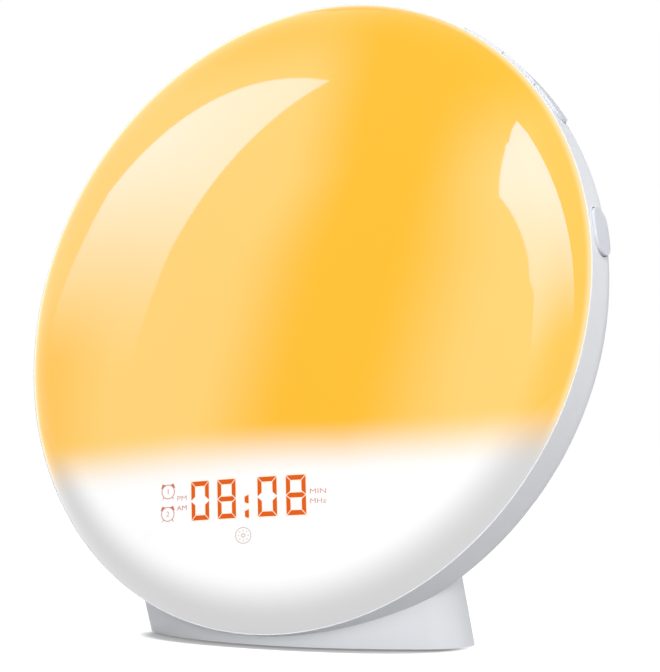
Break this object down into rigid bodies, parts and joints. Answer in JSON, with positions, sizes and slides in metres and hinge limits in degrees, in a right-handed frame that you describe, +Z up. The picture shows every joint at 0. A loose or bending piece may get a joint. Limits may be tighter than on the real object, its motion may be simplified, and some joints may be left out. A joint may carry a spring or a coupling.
{
  "type": "sunrise alarm clock",
  "caption": "Round sunrise alarm clock: a domed light cover with a digit display under it, keys round the rim, on a leaning foot.",
  "frame": {"origin": "middle of the foot's underside, on the surface that the clock stands on", "axes": "+Z up, the lit face looks towards -Y and leans back by 12 degrees, +X is to the right for someone facing the clock"},
  "size_m": [0.1806, 0.0654, 0.1806],
  "materials": {
    "cover_plastic": "milky, glossy",
    "housing_plastic": "satin",
    "key_plastic": "satin",
    "inner_plastic": "matt",
    "grey_plastic": "matt",
    "black_plastic": "matt",
    "stem_plastic": "matt",
    "segment_resin": "clear, lit orange",
    "diode_resin": "clear",
    "white_board": "lacquered",
    "green_board": "lacquered",
    "foot_rubber": "matt",
    "cone_paper": "pressed paper",
    "screw_steel": "zinc plated",
    "can_steel": "plated",
    "brass_part": "plain",
    "magnet_iron": "ferrite, plain"
  },
  "bodies": {
    "clock": {"light_diffuser": "cover_plastic", "rear_housing": "housing_plastic", "base_plate": "housing_plastic", "foot_pad": "foot_rubber", "base_screws": "screw_steel", "reflector_plate": "inner_plastic", "chassis_screws": "screw_steel", "light_divider": "inner_plastic", "light_board": "white_board", "light_leds": "diode_resin", "light_screws": "screw_steel", "display_board": "green_board", "digit_module": "grey_plastic", "digit_segments": "segment_resin", "display_shroud": "inner_plastic", "touch_pillar": "brass_part", "board_link": "black_plastic", "main_board": "green_board", "board_chips": "black_plastic", "tuner_can": "can_steel", "board_capacitors": "black_plastic", "board_connectors": "inner_plastic", "board_screws": "screw_steel", "power_inlet": "black_plastic", "power_inlet_pin": "brass_part", "aerial_bush": "foot_rubber", "speaker_frame": "can_steel", "speaker_magnet": "magnet_iron", "speaker_cone": "cone_paper", "speaker_surround": "foot_rubber", "speaker_gasket": "foot_rubber", "speaker_screws": "screw_steel", "right_key_board": "green_board", "right_side_board": "green_board", "left_key_board": "green_board", "left_side_board": "green_board", "snooze_board": "green_board", "key_switches": "black_plastic"},
    "right_upper_button": {"right_upper_key": "key_plastic", "right_upper_stem": "stem_plastic"},
    "right_middle_button": {"right_middle_key": "key_plastic", "right_middle_stem": "stem_plastic"},
    "right_lower_button": {"right_lower_key": "key_plastic", "right_lower_stem": "stem_plastic"},
    "right_side_button": {"right_side_key": "key_plastic", "right_side_stem": "stem_plastic"},
    "left_upper_button": {"left_upper_key": "key_plastic", "left_upper_stem": "stem_plastic"},
    "left_middle_button": {"left_middle_key": "key_plastic", "left_middle_stem": "stem_plastic"},
    "left_lower_button": {"left_lower_key": "key_plastic", "left_lower_stem": "stem_plastic"},
    "left_side_button": {"left_side_key": "key_plastic", "left_side_stem": "stem_plastic"},
    "snooze_button": {"snooze_key": "key_plastic", "snooze_stem": "stem_plastic"}
  },
  "joints": [
    {"name": "right_upper_press", "type": "slide", "parent": "clock", "child": "right_upper_button", "axis": [-0.6756, -0.1533, -0.7212], "range_m": [0, 0.0006], "stiffness_N_per_m": 1500},
    {"name": "right_middle_press", "type": "slide", "parent": "clock", "child": "right_middle_button", "axis": [-0.6756, -0.1533, -0.7212], "range_m": [0, 0.0006], "stiffness_N_per_m": 1500},
    {"name": "right_lower_press", "type": "slide", "parent": "clock", "child": "right_lower_button", "axis": [-0.6756, -0.1533, -0.7212], "range_m": [0, 0.0006], "stiffness_N_per_m": 1500},
    {"name": "right_side_press", "type": "slide", "parent": "clock", "child": "right_side_button", "axis": [-0.9796, -0.0418, -0.1967], "range_m": [0, 0.0006], "stiffness_N_per_m": 1500},
    {"name": "left_upper_press", "type": "slide", "parent": "clock", "child": "left_upper_button", "axis": [0.6756, -0.1533, -0.7212], "range_m": [0, 0.0006], "stiffness_N_per_m": 1500},
    {"name": "left_middle_press", "type": "slide", "parent": "clock", "child": "left_middle_button", "axis": [0.6756, -0.1533, -0.7212], "range_m": [0, 0.0006], "stiffness_N_per_m": 1500},
    {"name": "left_lower_press", "type": "slide", "parent": "clock", "child": "left_lower_button", "axis": [0.6756, -0.1533, -0.7212], "range_m": [0, 0.0006], "stiffness_N_per_m": 1500},
    {"name": "left_side_press", "type": "slide", "parent": "clock", "child": "left_side_button", "axis": [0.9796, -0.0418, -0.1967], "range_m": [0, 0.0006], "stiffness_N_per_m": 1500},
    {"name": "snooze_press", "type": "slide", "parent": "clock", "child": "snooze_button", "axis": [0, -0.2079, -0.9781], "range_m": [0, 0.0006], "stiffness_N_per_m": 1500}
  ]
}
